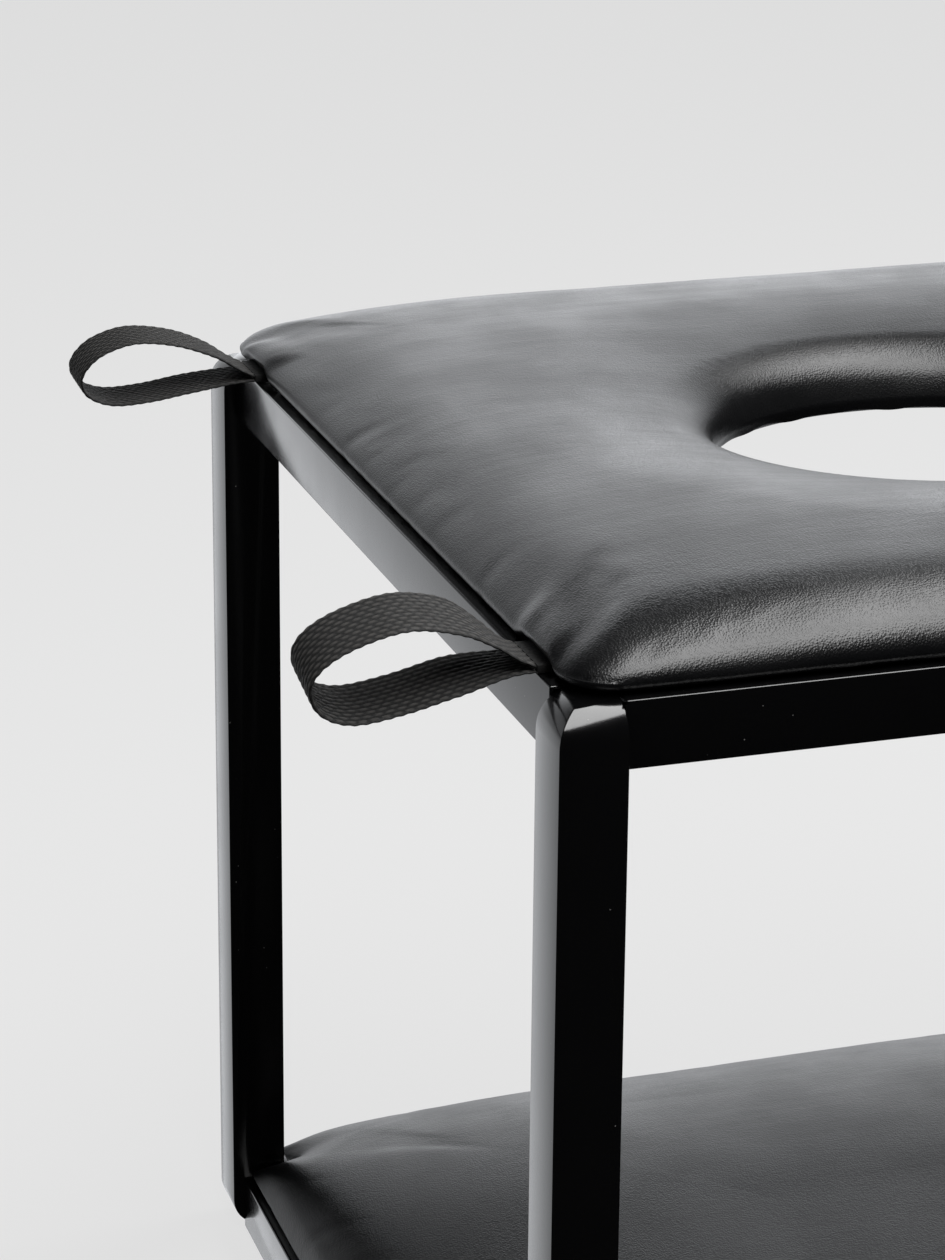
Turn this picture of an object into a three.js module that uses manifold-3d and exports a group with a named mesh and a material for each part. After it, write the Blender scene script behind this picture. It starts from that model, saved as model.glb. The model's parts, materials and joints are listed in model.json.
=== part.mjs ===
// Padded face-rest stand: a black square-tube frame with a padded seat on top that has an oval
// opening through it, a second pad low in the frame, and four webbing loops that come out
// sideways between the seat and the side rails.
// Millimetres, +Z up. The origin is the middle of the floor area that the stand covers,
// +X is to the right and the front is towards -Y.
import * as THREE from "three";
import { mergeVertices } from "three/addons/utils/BufferGeometryUtils.js";
import Module from "manifold-3d";

const wasm = await Module();
wasm.setup();

// ---------- driving dimensions ----------
const frameWidth = 500; // over the legs, along X
const frameDepth = 480; // over the legs, along Y
const frameHeight = 430; // from end to end of a leg
const legSize = 25; // square leg tube
const tubeWall = 1.5;
const legEndRound = 14; // round on the two outer sides of a leg, at both of its ends
const railWidth = 20; // rails sit flush with the legs on the inside
const railHeight = 25;
const weldHole = 6; // diameter of the hole behind an upper rail's end
const jointGap = 0.3; // left between two faces that touch

const footDiameter = 14;
const footHeight = 3;
const footFromLeg = 30;

const tabLength = 36; // flat tabs on the inner side of the front and rear rails
const tabReach = 30;
const tabThickness = 4;
const tabFromLeg = 95;
const tabHoleFromEnd = 9;

const screwShank = 4;
const screwHead = 9;
const screwHeadHeight = 2.6;
const screwClearance = 0.5; // all round a shank
const screwBite = 7; // how far a screw goes into a board

const webWidth = 25;
const webThickness = 1.5;
const loopReach = 80; // from the bend to the loop's far end
const loopSpread = 33; // over the loop's two strands, where they are furthest apart
const loopRestAngle = 3; // degrees above level
const bendFromRail = 2; // the bend lies this far outside the rail's outer face
const strapFromLeg = 25; // from a leg to the middle of a strap
const tailPastHem = 16; // a strap's tail runs on under the seat board past the cover's hem

const padEdge = 8; // from the legs' outer faces to a pad's edge
const coverThickness = 1.2;
const coverHem = 12; // how far a cover turns in under its board
const openingHem = 14; // the same round the opening
const foamGap = 1; // between a cover and its foam
const boardThickness = 9;
const linerThickness = 0.8;
const linerGap = 5; // left round the liner

const seatRise = 28; // from the upper rails to the highest point of the seat
const seatSide = 4; // upright edge of the seat's cover, above its underside lining
const seatCorner = 16; // plan radius of the seat's corners
const openingLength = 200; // through the board, along X
const openingDepth = 160; // through the board, along Y
const seatPeak = 0.4; // where the seat is highest, as a share of the way in to the opening
const funnelPower = 1.6; // how the seat falls from there to the opening

const lowerRise = 46; // from the lower rails to the highest point of the lower pad
const lowerSide = 8; // the same on the lower pad
const lowerCorner = 6; // plan radius of the lower pad's corners
const lowerLegGap = 3; // between a leg and the pad's notch around it

const crownPower = 2.6; // a pad rises from its edge as a superellipse of this power
const crownSteps = 8;
const sideSteps = 8; // steps along a straight side of an outline
const cornerSteps = 2; // steps round a corner of an outline
const strandSteps = 28; // steps round a webbing loop
const roundSegments = 12;

// ---------- places worked out from the sizes ----------
const railInset = legSize - railWidth;
const sideRailLength = frameDepth - 2 * legSize - 2 * jointGap;
const endRailLength = frameWidth - 2 * legSize - 2 * jointGap;
const frameTop = footHeight + frameHeight;
const lowerRailTop = footHeight + railHeight;
const webStack = 2 * webThickness; // the two layers of a strap's tail
const strapGap = webStack + 2 * jointGap; // room for a strap over a rail and down inside it
const lining = coverThickness + jointGap; // from a cover's outer face to the board it wraps
const sleeveInset = legSize + strapGap - padEdge; // from a pad's edge to the cover on its board
const liningDrop = boardThickness + jointGap + lining; // from foam down to the hem's underside
const seatBottom = frameTop + strapGap;
const lowerBottom = lowerRailTop + jointGap;
const strapX = frameWidth / 2 - railInset + bendFromRail;
const strapY = frameDepth / 2 - legSize - strapFromLeg;
const tailTurn = bendFromRail + railWidth + jointGap; // from the bend to the rail's inner side
const tailEnd = tailTurn + webStack + jointGap + coverHem + tailPastHem;
const tailScrewAt = tailPastHem / 2 - tailEnd; // from the bend, at the middle of the bare part
const tabX = frameWidth / 2 - legSize - tabFromLeg;
const tabY = frameDepth / 2 - legSize - tabReach + tabHoleFromEnd; // to the tab's hole
const tailEndFromSide = frameWidth / 2 - strapX + tailEnd;
const linerInset = Math.max(legSize + tabReach, tailEndFromSide) + linerGap - padEdge;

const paint = { color: 0x0b0b0c, roughness: 0.18, metalness: 0.1 };
const leather = { color: 0x17171a, roughness: 0.42, metalness: 0 };
const webbing = { color: 0x1c1b1a, roughness: 0.85, metalness: 0 };
const foam = { color: 0xd9d2b8, roughness: 0.95, metalness: 0 };
const plywood = { color: 0xb99566, roughness: 0.7, metalness: 0 };
const zinc = { color: 0xb9bcc0, roughness: 0.35, metalness: 0.9 };
const felt = { color: 0x3a3a3c, roughness: 1, metalness: 0 };
const linerCloth = { color: 0x121214, roughness: 1, metalness: 0 };

// ---------- solids ----------
function solidFrom(geometry) {
  const bare = geometry.clone();
  bare.deleteAttribute("normal");
  bare.deleteAttribute("uv");
  const merged = mergeVertices(bare, 1e-4);
  return new wasm.Manifold(
    new wasm.Mesh({
      numProp: 3,
      vertProperties: new Float32Array(merged.attributes.position.array),
      triVerts: new Uint32Array(merged.index.array),
    }),
  );
}

function geometryFrom(solid) {
  const mesh = solid.getMesh();
  const geometry = new THREE.BufferGeometry();
  geometry.setAttribute("position", new THREE.BufferAttribute(mesh.vertProperties, 3));
  geometry.setIndex(new THREE.BufferAttribute(mesh.triVerts, 1));
  return geometry;
}

function extrude(shape, depth) {
  return new THREE.ExtrudeGeometry(shape, { depth, bevelEnabled: false, curveSegments: 6 });
}

function drillBit(diameter, length) {
  return new THREE.CylinderGeometry(diameter / 2, diameter / 2, length, roundSegments).rotateX(
    Math.PI / 2,
  );
}

function rectangle(halfX, halfY) {
  return new THREE.Shape([
    new THREE.Vector2(-halfX, -halfY),
    new THREE.Vector2(halfX, -halfY),
    new THREE.Vector2(halfX, halfY),
    new THREE.Vector2(-halfX, halfY),
  ]);
}

// Skins a row of rings, each with the same number of points. A looped row joins its last ring
// to its first; an open one is closed at both ends by a fan from the ring's middle.
function skin(rings, looped) {
  const count = rings[0].length;
  const points = rings.flat();
  const faces = [];
  const strips = looped ? rings.length : rings.length - 1;
  for (let r = 0; r < strips; r++) {
    const next = (r + 1) % rings.length;
    for (let i = 0; i < count; i++) {
      const j = (i + 1) % count;
      faces.push(r * count + i, r * count + j, next * count + i);
      faces.push(r * count + j, next * count + j, next * count + i);
    }
  }
  if (!looped) {
    const last = (rings.length - 1) * count;
    const middles = [rings[0], rings.at(-1)].map(middleOf);
    const firstMiddle = points.push(middles[0]) - 1;
    const lastMiddle = points.push(middles[1]) - 1;
    for (let i = 0; i < count; i++) {
      const j = (i + 1) % count;
      faces.push(firstMiddle, j, i);
      faces.push(lastMiddle, last + i, last + j);
    }
  }
  const geometry = new THREE.BufferGeometry().setFromPoints(points);
  geometry.setIndex(faces);
  return geometry;
}

function middleOf(ring) {
  const sum = ring.reduce((total, point) => total.add(point), new THREE.Vector3());
  return sum.divideScalar(ring.length);
}

// ---------- outlines in plan ----------
// A closed outline round the given corners, counter-clockwise. Each corner has its own round,
// and each straight stretch longer than a round is cut into a few steps.
function roundedOutline(corners, radius) {
  const points = [];
  corners.forEach((corner, i) => {
    const before = corners.at(i - 1);
    const after = corners[(i + 1) % corners.length];
    const toBefore = before.clone().sub(corner).normalize();
    const toAfter = after.clone().sub(corner).normalize();
    const start = corner.clone().addScaledVector(toBefore, radius);
    const end = corner.clone().addScaledVector(toAfter, radius);
    const arc = new THREE.QuadraticBezierCurve(start, corner, end);
    points.push(...arc.getPoints(cornerSteps));
    const reach = after.distanceTo(corner) - radius;
    const longSide = reach > 4 * radius + legSize;
    const steps = longSide ? sideSteps : 1;
    for (let step = 1; step < steps; step++) {
      const far = corner.clone().addScaledVector(toAfter, reach);
      points.push(end.clone().lerp(far, step / steps));
    }
  });
  return points;
}

function seatOutline(inset) {
  const halfX = frameWidth / 2 - padEdge - inset;
  const halfY = frameDepth / 2 - padEdge - inset;
  const corners = [
    new THREE.Vector2(halfX, -halfY),
    new THREE.Vector2(halfX, halfY),
    new THREE.Vector2(-halfX, halfY),
    new THREE.Vector2(-halfX, -halfY),
  ];
  return roundedOutline(corners, seatCorner);
}

// The lower pad is notched at each corner, so that it clears the legs.
function lowerOutline(inset) {
  const halfX = frameWidth / 2 - padEdge - inset;
  const halfY = frameDepth / 2 - padEdge - inset;
  const notch = legSize + lowerLegGap - padEdge;
  const notchX = halfX - notch;
  const notchY = halfY - notch;
  const corners = [];
  for (const [sx, sy] of [[1, -1], [1, 1], [-1, 1], [-1, -1]]) {
    const sideEnd = new THREE.Vector2(sx * halfX, sy * notchY);
    const inner = new THREE.Vector2(sx * notchX, sy * notchY);
    const frontEnd = new THREE.Vector2(sx * notchX, sy * halfY);
    corners.push(...(sx * sy < 0 ? [frontEnd, inner, sideEnd] : [sideEnd, inner, frontEnd]));
  }
  return roundedOutline(corners, lowerCorner);
}

// The opening's outline, grown by `inset`, with a point opposite each point of the seat's edge.
function openingOutline(inset) {
  const outer = seatOutline(0);
  const halfX = openingLength / 2 + inset;
  const halfY = openingDepth / 2 + inset;
  const widest = Math.max(...outer.map((point) => point.x));
  const deepest = Math.max(...outer.map((point) => point.y));
  return outer.map((point) => {
    const angle = Math.atan2(point.y / deepest, point.x / widest);
    return new THREE.Vector2(halfX * Math.cos(angle), halfY * Math.sin(angle));
  });
}

// ---------- pads ----------
// Each pad is a board between the rails, with foam on it that overhangs the rails, and a cover
// round both. `bottom` is the cover's underside over the rails.
const seat = {
  outline: seatOutline,
  hole: openingOutline,
  bottom: seatBottom,
  side: seatSide,
  top: frameTop + seatRise,
};
const lower = {
  outline: lowerOutline,
  hole: null,
  bottom: lowerBottom,
  side: lowerSide,
  top: lowerRailTop + lowerRise,
};

const level = (outline, z) => outline.map((point) => new THREE.Vector3(point.x, point.y, z));

const foamBottomOf = (pad) => pad.bottom + lining;
const hemBottomOf = (pad) => foamBottomOf(pad) - liningDrop;
const boardBottomOf = (pad) => hemBottomOf(pad) + lining;

// How high a pad stands at a share of the way in from its edge, from 0 at the edge to 1.
function crownLift(pad, across) {
  const peak = pad.hole ? seatPeak : 1;
  if (across > peak) return 1 - ((across - peak) / (1 - peak)) ** funnelPower;
  return (1 - (1 - across / peak) ** crownPower) ** (1 / crownPower);
}

// The crown of a pad, in rings from its outer edge to the opening or to the middle. The inset
// brings the whole crown in and down, for a cover's inner face and for the foam under it.
function crownRings(pad, inset) {
  const outer = pad.outline(inset);
  const inner = pad.hole ? pad.hole(inset) : outer.map(() => new THREE.Vector2());
  const sideTop = foamBottomOf(pad) + pad.side;
  const lastStep = pad.hole ? crownSteps : crownSteps - 1;
  const rings = [];
  for (let step = 0; step <= lastStep; step++) {
    const share = step / crownSteps;
    const across = share * share * (2 - share); // closer together near the edge
    const ring = outer.map((point, i) => point.clone().lerp(inner[i], across));
    rings.push(level(ring, sideTop + (pad.top - sideTop) * crownLift(pad, across) - inset));
  }
  return rings;
}

function padFoam(pad) {
  const crown = crownRings(pad, coverThickness + foamGap);
  const foot = (ring) => level(ring, foamBottomOf(pad));
  if (!pad.hole) return skin([foot(crown[0]), ...crown], false);
  return skin([foot(crown[0]), ...crown, foot(crown.at(-1))], true);
}

// A cover is a skin over the crown. It turns in under the foam, goes down round the board and
// ends in a hem under the board, and does the same through the opening.
function padCover(pad) {
  const thickness = coverThickness;
  const hemBottom = hemBottomOf(pad);
  const hemEnd = pad.outline(sleeveInset + coverHem);
  const rings = [
    ...crownRings(pad, thickness).reverse(),
    level(pad.outline(thickness), pad.bottom + thickness),
    level(pad.outline(sleeveInset + thickness), pad.bottom + thickness),
    level(pad.outline(sleeveInset + thickness), hemBottom + thickness),
    level(hemEnd, hemBottom + thickness),
    level(hemEnd, hemBottom),
    level(pad.outline(sleeveInset), hemBottom),
    level(pad.outline(sleeveInset), pad.bottom),
    level(pad.outline(0), pad.bottom),
    ...crownRings(pad, 0),
  ];
  if (!pad.hole) return skin(rings, false);
  rings.push(
    level(pad.hole(0), hemBottom),
    level(pad.hole(openingHem), hemBottom),
    level(pad.hole(openingHem), hemBottom + thickness),
    level(pad.hole(thickness), hemBottom + thickness),
  );
  return skin(rings, true);
}

// A flat piece under a pad, inset from the pad's edge and from its opening.
function padSheet(pad, edgeInset, openingInset, thickness) {
  const shape = new THREE.Shape(pad.outline(edgeInset));
  if (pad.hole) shape.holes.push(new THREE.Path(pad.hole(openingInset)));
  return extrude(shape, thickness);
}

function padBoard(pad, screws) {
  let board = solidFrom(padSheet(pad, sleeveInset + lining, lining, boardThickness));
  const pilot = screwBite + screwClearance;
  for (const [x, y] of screws) {
    const hole = drillBit(screwShank + 2 * screwClearance, 2 * pilot).translate(x, y, 0);
    board = board.subtract(solidFrom(hole));
  }
  return geometryFrom(board);
}

const padLiner = (pad) => padSheet(pad, linerInset, openingHem + linerGap, linerThickness);

// ---------- frame ----------
// A leg's side view: a strip with its outer corners rounded. x runs inwards from the outer face.
function legSide(inset) {
  const near = inset;
  const far = legSize - inset;
  const low = inset;
  const high = frameHeight - inset;
  const round = legEndRound - inset;
  const shape = new THREE.Shape();
  shape.moveTo(far, low);
  shape.lineTo(far, high);
  shape.lineTo(near + round, high);
  shape.absarc(near + round, high - round, round, Math.PI / 2, Math.PI, false);
  shape.lineTo(near, low + round);
  shape.absarc(near + round, low + round, round, Math.PI, 1.5 * Math.PI, false);
  return shape;
}

// A leg's body has the same rounds on both outer sides, so they meet in a hip at its ends.
function legBody(inset) {
  const length = legSize - 2 * inset;
  const across = extrude(legSide(inset), length).translate(0, 0, inset);
  const roundedInX = across.clone().rotateX(Math.PI / 2).translate(0, legSize, 0);
  const roundedInY = roundedInX.clone().translate(0, -legSize, 0).rotateZ(Math.PI / 2);
  return solidFrom(roundedInX).intersect(solidFrom(roundedInY));
}

// The leg's outer corner is its own origin, and it stands to the +X, +Y side of that corner.
function leg() {
  const weldHoleHeight = frameHeight - railHeight / 2;
  const bit = drillBit(weldHole, legSize)
    .rotateY(Math.PI / 2)
    .translate(legSize, railInset + railWidth / 2, weldHoleHeight);
  return geometryFrom(legBody(0).subtract(legBody(tubeWall)).subtract(solidFrom(bit)));
}

// An open-ended tube along Y, centred.
function rail(length) {
  const section = rectangle(railWidth / 2, railHeight / 2);
  section.holes.push(
    new THREE.Path(rectangle(railWidth / 2 - tubeWall, railHeight / 2 - tubeWall).getPoints()),
  );
  return extrude(section, length).translate(0, 0, -length / 2).rotateX(Math.PI / 2);
}

// A tab's inner corners are cut off. Its hole is at the origin, its +Y edge meets the rail, and
// its top face is at z = 0.
function tab() {
  const half = tabLength / 2;
  const inner = -tabHoleFromEnd;
  const outer = tabReach - tabHoleFromEnd - jointGap;
  const cut = tabHoleFromEnd / 2;
  const shape = new THREE.Shape();
  shape.moveTo(half, outer);
  shape.lineTo(-half, outer);
  shape.lineTo(-half, inner + cut);
  shape.lineTo(cut - half, inner);
  shape.lineTo(half - cut, inner);
  shape.lineTo(half, inner + cut);
  const plate = solidFrom(extrude(shape, tabThickness).translate(0, 0, -tabThickness));
  const hole = drillBit(screwShank + 2 * screwClearance, 3 * tabThickness);
  return geometryFrom(plate.subtract(solidFrom(hole)));
}

function foot() {
  const radius = footDiameter / 2;
  const edge = footHeight / 5;
  const profile = [
    new THREE.Vector2(0, 0),
    new THREE.Vector2(radius - edge, 0),
    new THREE.Vector2(radius, edge),
    new THREE.Vector2(radius, footHeight - jointGap),
    new THREE.Vector2(0, footHeight - jointGap),
  ];
  return new THREE.LatheGeometry(profile, roundSegments).rotateX(Math.PI / 2);
}

// ---------- fasteners ----------
// A pan-head screw pointing up, with the underside of its head at z = 0.
function screw(length) {
  const head = screwHead / 2;
  const shank = screwShank / 2;
  const profile = [
    new THREE.Vector2(0, -screwHeadHeight),
    new THREE.Vector2(head / 2, -screwHeadHeight),
    new THREE.Vector2(head, -screwHeadHeight / 3),
    new THREE.Vector2(head, 0),
    new THREE.Vector2(shank, 0),
    new THREE.Vector2(shank, length - shank),
    new THREE.Vector2(0, length),
  ];
  return new THREE.LatheGeometry(profile, roundSegments).rotateX(Math.PI / 2);
}

// ---------- straps ----------
// Both layers of a strap bend at the origin, and the loop opens out along +X.
function strandPoint(angle, side) {
  const reach = loopReach - webThickness / 2;
  const fullest = 4 / (3 * Math.sqrt(3)); // largest value of sin(a) * sin(a / 2)
  const swell = (loopSpread - 2 * webThickness) / 2 / fullest;
  const layer = webThickness / 2;
  const half = angle / 2;
  const x = (reach * (1 - Math.cos(angle))) / 2;
  const y = layer * Math.cos(half) + swell * Math.sin(angle) * Math.sin(half);
  const alongX = (reach * Math.sin(angle)) / 2;
  const growth = Math.cos(angle) * Math.sin(half) + (Math.sin(angle) * Math.cos(half)) / 2;
  const alongY = swell * growth - (layer / 2) * Math.sin(half);
  const normal = new THREE.Vector2(-alongY, alongX).normalize();
  return new THREE.Vector2(x, y).addScaledVector(normal, side * layer);
}

function strapLoop() {
  const first = Math.PI / 9; // where the two strands part
  const outer = new THREE.Shape();
  outer.absarc(0, 0, webThickness, Math.PI / 2, 1.5 * Math.PI, false);
  const inner = [];
  for (let step = 0; step <= strandSteps; step++) {
    const angle = 2 * Math.PI - first - (step / strandSteps) * 2 * (Math.PI - first);
    const point = strandPoint(angle, 1);
    outer.lineTo(point.x, point.y);
    inner.push(strandPoint(angle, -1));
  }
  outer.holes.push(new THREE.Path(inner));
  return extrude(outer, webWidth)
    .translate(0, 0, -webWidth / 2)
    .rotateX(Math.PI / 2)
    .rotateY(THREE.MathUtils.degToRad(-loopRestAngle));
}

// A tail runs in over the rail, down its inner side and in under the board, where a screw
// holds it. Its height is measured from the middle of the bend.
const tailDrop = frameTop + jointGap + webThickness - hemBottomOf(seat) + jointGap;

function strapTail() {
  const half = webStack / 2;
  const start = -half - jointGap;
  const shape = new THREE.Shape();
  shape.moveTo(start, half);
  shape.lineTo(-tailTurn - webStack, half);
  shape.lineTo(-tailTurn - webStack, -tailDrop);
  shape.lineTo(-tailEnd, -tailDrop);
  shape.lineTo(-tailEnd, -tailDrop - webStack);
  shape.lineTo(-tailTurn, -tailDrop - webStack);
  shape.lineTo(-tailTurn, -half);
  shape.lineTo(start, -half);
  const strip = extrude(shape, webWidth).translate(0, 0, -webWidth / 2).rotateX(Math.PI / 2);
  const hole = drillBit(screwShank + 2 * screwClearance, 3 * webStack);
  hole.translate(tailScrewAt, 0, -tailDrop);
  return geometryFrom(solidFrom(strip).subtract(solidFrom(hole)));
}

// ---------- assembly ----------
const stand = new THREE.Group();

function add(parent, name, geometry, finish, x = 0, y = 0, z = 0) {
  const mesh = new THREE.Mesh(geometry, new THREE.MeshStandardMaterial(finish));
  mesh.name = name;
  mesh.position.set(x, y, z);
  parent.add(mesh);
  return mesh;
}

const ends = [["front", -1], ["rear", 1]];
const sides = [["left", -1], ["right", 1]];

const railY = frameDepth / 2 - railInset - railWidth / 2;
const railX = frameWidth / 2 - railInset - railWidth / 2;
const tiers = [["lower", lowerRailTop], ["upper", frameTop]];
for (const [tier, top] of tiers) {
  const z = top - railHeight / 2;
  for (const [end, sign] of ends) {
    const name = `${tier}_rail_${end}`;
    add(stand, name, rail(endRailLength), paint, 0, sign * railY, z).rotation.z = Math.PI / 2;
  }
  for (const [side, sign] of sides) {
    add(stand, `${tier}_rail_${side}`, rail(sideRailLength), paint, sign * railX, 0, z);
  }
}

const padScrews = [];
const tailScrews = [];
for (const [end, ySign] of ends) {
  for (const [side, xSign] of sides) {
    const place = `${end}_${side}`;

    const quarter = { "-1,-1": 0, "1,-1": 1, "1,1": 2, "-1,1": 3 }[`${xSign},${ySign}`];
    const corner = new THREE.Group();
    corner.position.set((xSign * frameWidth) / 2, (ySign * frameDepth) / 2, footHeight);
    corner.rotation.z = (quarter * Math.PI) / 2;
    add(corner, `leg_${place}`, leg(), paint);
    stand.add(corner);

    const footY = ySign * (frameDepth / 2 - legSize - footFromLeg);
    add(stand, `foot_${place}`, foot(), felt, xSign * railX, footY, 0);

    const tabs = new THREE.Group();
    tabs.position.set(xSign * tabX, ySign * tabY, 0);
    tabs.rotation.z = ySign > 0 ? 0 : Math.PI;
    for (const [tier, pad] of [["lower", lower], ["upper", seat]]) {
      const tabTop = hemBottomOf(pad) - jointGap;
      const headSeat = tabTop - tabThickness - jointGap;
      const shank = boardBottomOf(pad) - headSeat + screwBite;
      add(tabs, `${tier}_tab_${place}`, tab(), paint, 0, 0, tabTop);
      add(tabs, `${tier}_screw_${place}`, screw(shank), zinc, 0, 0, headSeat);
    }
    stand.add(tabs);
    padScrews.push([xSign * tabX, ySign * tabY]);

    const strap = new THREE.Group();
    strap.position.set(xSign * strapX, ySign * strapY, frameTop + jointGap + webThickness);
    strap.rotation.z = xSign > 0 ? 0 : Math.PI;
    const headSeat = -tailDrop - webStack - jointGap;
    const tailShank = webStack + 2 * jointGap + lining + screwBite;
    add(strap, `strap_loop_${place}`, strapLoop(), webbing);
    add(strap, `strap_tail_${place}`, strapTail(), webbing);
    add(strap, `strap_screw_${place}`, screw(tailShank), zinc, tailScrewAt, 0, headSeat);
    stand.add(strap);
    tailScrews.push([xSign * (strapX + tailScrewAt), ySign * strapY]);
  }
}

const seatScrews = [...padScrews, ...tailScrews];
add(stand, "seat_board", padBoard(seat, seatScrews), plywood, 0, 0, boardBottomOf(seat));
add(stand, "seat_foam", padFoam(seat), foam);
add(stand, "seat_cover", padCover(seat), leather);
add(stand, "lower_board", padBoard(lower, padScrews), plywood, 0, 0, boardBottomOf(lower));
add(stand, "lower_foam", padFoam(lower), foam);
add(stand, "lower_cover", padCover(lower), leather);

const linerDrop = jointGap + linerThickness;
add(stand, "seat_liner", padLiner(seat), linerCloth, 0, 0, boardBottomOf(seat) - linerDrop);
add(stand, "lower_liner", padLiner(lower), linerCloth, 0, 0, boardBottomOf(lower) - linerDrop);

export default stand;
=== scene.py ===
# Looks of the padded face-rest stand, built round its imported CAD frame.
# Metres, in the row frame: +Z up, +X to the right, the front towards -Y.
import json
import math

import bpy
import numpy as np
from mathutils import Matrix, Vector


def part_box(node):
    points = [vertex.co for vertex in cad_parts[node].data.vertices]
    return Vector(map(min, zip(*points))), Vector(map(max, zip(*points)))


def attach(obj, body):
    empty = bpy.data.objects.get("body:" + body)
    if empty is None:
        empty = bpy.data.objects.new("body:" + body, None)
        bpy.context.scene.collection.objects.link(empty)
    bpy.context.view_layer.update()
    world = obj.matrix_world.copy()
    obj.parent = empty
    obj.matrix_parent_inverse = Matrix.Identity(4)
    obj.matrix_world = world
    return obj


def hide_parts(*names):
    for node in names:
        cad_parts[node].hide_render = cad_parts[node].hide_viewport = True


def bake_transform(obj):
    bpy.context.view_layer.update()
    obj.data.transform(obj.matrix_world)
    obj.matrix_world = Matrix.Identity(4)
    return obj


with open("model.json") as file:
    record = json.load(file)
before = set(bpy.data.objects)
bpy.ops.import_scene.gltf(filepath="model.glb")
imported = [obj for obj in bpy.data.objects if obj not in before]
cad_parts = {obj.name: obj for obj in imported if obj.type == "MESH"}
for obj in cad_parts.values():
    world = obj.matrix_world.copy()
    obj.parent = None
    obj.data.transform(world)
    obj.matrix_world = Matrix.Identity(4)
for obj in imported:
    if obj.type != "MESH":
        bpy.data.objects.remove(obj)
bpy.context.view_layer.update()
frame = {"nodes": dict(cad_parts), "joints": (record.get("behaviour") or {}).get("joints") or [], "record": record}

MM = 0.001

# ---------- places read from the frame ----------
leg_low, leg_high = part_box("leg_front_left")
cover_low, cover_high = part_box("seat_cover")
board_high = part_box("seat_board")[1]
lower_low, lower_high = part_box("lower_cover")
lower_board_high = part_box("lower_board")[1]
lower_foam_low, seat_foam_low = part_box("lower_foam")[0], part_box("seat_foam")[0]
loop_hinges = {j["child"]: j for j in frame["joints"]}


def cad_points(node):
    vertices = frame["nodes"][node].data.vertices
    return np.array([v.co for v in vertices], float).reshape(-1, 3)


# ---------- camera ----------
CAMERA_FROM_CORNER = Vector((-0.3792, -1.0701, 0.4349))  # from the near leg's top outer corner
YAW, PITCH, ROLL = math.radians(18.01), math.radians(-17.325), math.radians(0.5025)

forward = Vector((
    math.sin(YAW) * math.cos(PITCH),
    math.cos(YAW) * math.cos(PITCH),
    math.sin(PITCH),
))
level_right = Vector((math.cos(YAW), -math.sin(YAW), 0))
level_up = level_right.cross(forward)
right = level_right * math.cos(ROLL) + level_up * math.sin(ROLL)
up = level_up * math.cos(ROLL) - level_right * math.sin(ROLL)

camera_data = bpy.data.cameras.new("camera")
camera_data.sensor_width = 36
camera_data.lens = 104.58
camera_data.shift_y = -0.119
camera_data.clip_end = 200
camera = bpy.data.objects.new("camera", camera_data)
bpy.context.scene.collection.objects.link(camera)
near_corner = Vector((leg_low.x, leg_low.y, leg_high.z))
turn = Matrix((right, up, -forward)).transposed().to_4x4()
camera.matrix_world = Matrix.Translation(near_corner + CAMERA_FROM_CORNER) @ turn
bpy.context.scene.camera = camera


# ---------- node graphs ----------
class Graph:
    """A short way to write a node tree: each call adds one node and links its inputs."""

    def __init__(self, tree):
        self.tree = tree
        tree.nodes.clear()

    def add(self, kind, inputs=None, **settings):
        node = self.tree.nodes.new(kind)
        for name, value in settings.items():
            setattr(node, name, value)
        for key, value in (inputs or {}).items():
            if isinstance(value, bpy.types.NodeSocket):
                self.tree.links.new(value, node.inputs[key])
            else:
                node.inputs[key].default_value = value
        return node

    def math(self, operation, a, b=0.0):
        return self.add("ShaderNodeMath", {0: a, 1: b}, operation=operation).outputs[0]

    def remap(self, value, low, high, to_low, to_high, smooth=True):
        node = self.add(
            "ShaderNodeMapRange",
            {"Value": value, "From Min": low, "From Max": high,
             "To Min": to_low, "To Max": to_high},
            interpolation_type="SMOOTHSTEP" if smooth else "LINEAR",
        )
        return node.outputs["Result"]

    def noise(self, where, scale, detail=3.0, roughness=0.55):
        node = self.add(
            "ShaderNodeTexNoise",
            {"Vector": where, "Scale": scale, "Detail": detail, "Roughness": roughness},
        )
        return node.outputs["Fac"]

    def stretched(self, where, scale):
        node = self.add("ShaderNodeMapping", {"Vector": where, "Scale": scale})
        return node.outputs["Vector"]

    def bump(self, height, distance, strength=1.0, below=None):
        inputs = {"Height": height, "Distance": distance, "Strength": strength}
        if below is not None:
            inputs["Normal"] = below
        return self.add("ShaderNodeBump", inputs).outputs["Normal"]


def material(name, base, roughness, detail, **fixed):
    """A principled material. `detail` gets the graph and the object's own coordinates, and
    returns its linked inputs; `fixed` are values that are the same all over."""
    made = bpy.data.materials.new(name)
    made.use_nodes = True
    graph = Graph(made.node_tree)
    where = graph.add("ShaderNodeTexCoord").outputs["Object"]
    shader = graph.add("ShaderNodeBsdfPrincipled")
    shader.inputs["Base Color"].default_value = (*base, 1)
    shader.inputs["Roughness"].default_value = roughness
    for key, value in fixed.items():
        shader.inputs[key].default_value = value
    for key, socket in detail(graph, where).items():
        graph.tree.links.new(socket, shader.inputs[key])
    output = graph.add("ShaderNodeOutputMaterial")
    graph.tree.links.new(shader.outputs[0], output.inputs["Surface"])
    return made


def ramp(graph, share, dark, light):
    node = graph.add("ShaderNodeValToRGB", {"Fac": share})
    node.color_ramp.elements[0].color = (*dark, 1)
    node.color_ramp.elements[1].color = (*light, 1)
    return node.outputs["Color"]


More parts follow.
